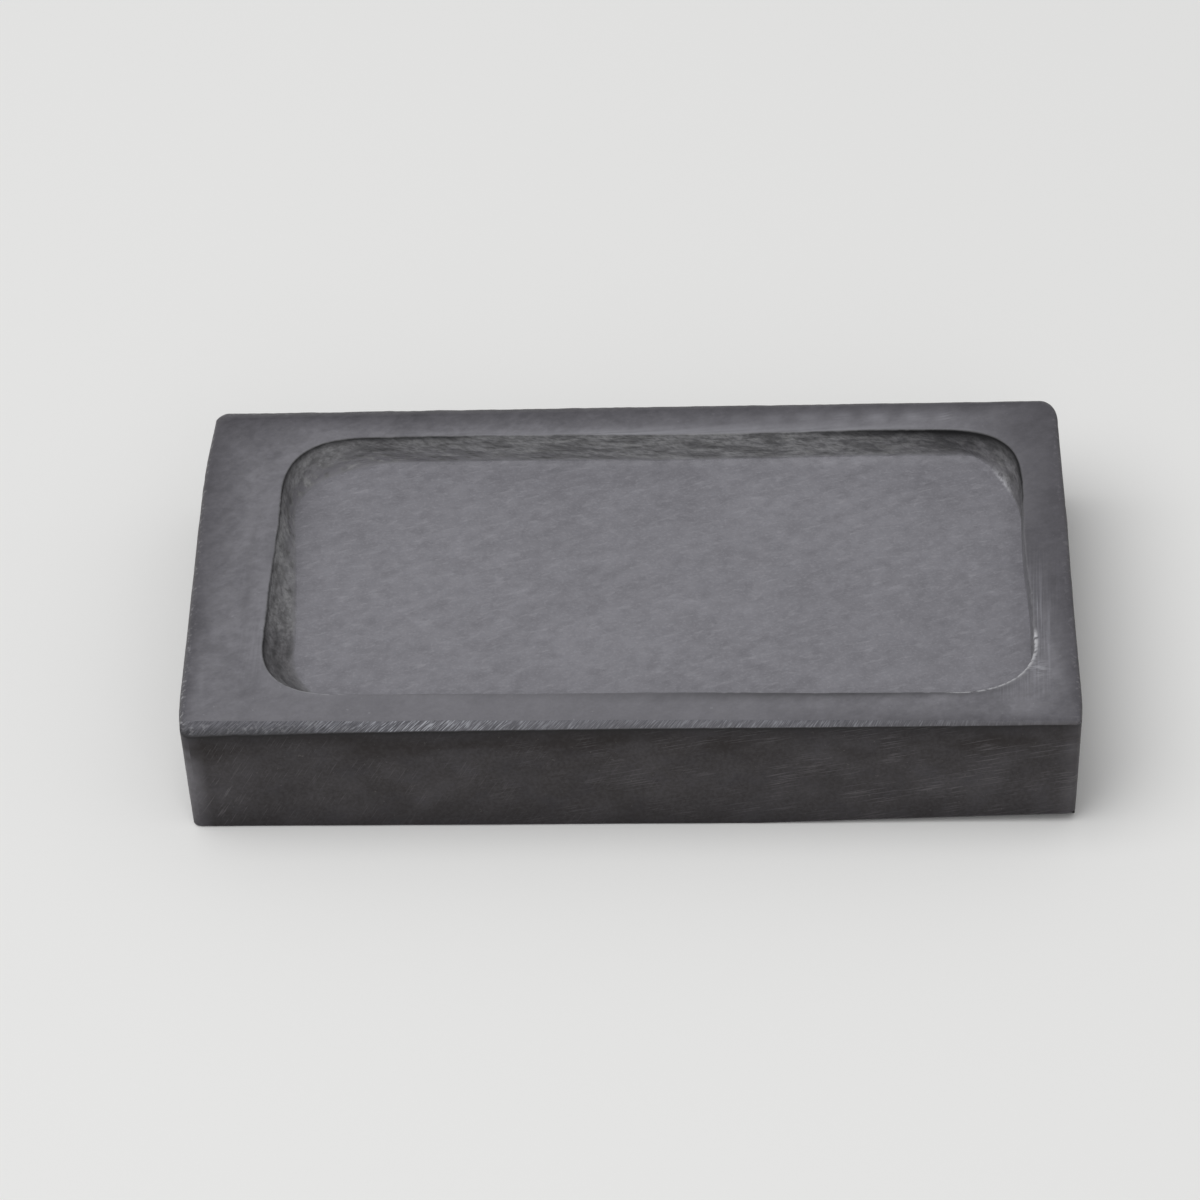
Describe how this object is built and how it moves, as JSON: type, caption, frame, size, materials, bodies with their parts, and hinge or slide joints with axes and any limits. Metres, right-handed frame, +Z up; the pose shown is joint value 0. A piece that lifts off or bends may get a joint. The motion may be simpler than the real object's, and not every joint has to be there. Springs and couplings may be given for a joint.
{
  "type": "ink stone",
  "caption": "Rectangular slate ink stone: a solid block with a shallow, round-cornered grinding basin cut into its top, set nearer one end.",
  "frame": {"origin": "middle of the foot, on the surface that the stone rests on", "axes": "+X along the block towards the end with the narrower rim, +Y away from the front face, +Z up out of the basin"},
  "size_m": [0.1249, 0.072, 0.0185],
  "materials": {
    "slate": "fine-rubbed slate, satin, grey with a faint blue cast; paler and duller in the basin"
  },
  "bodies": {
    "root": {"ink_stone": "slate"}
  },
  "joints": []
}
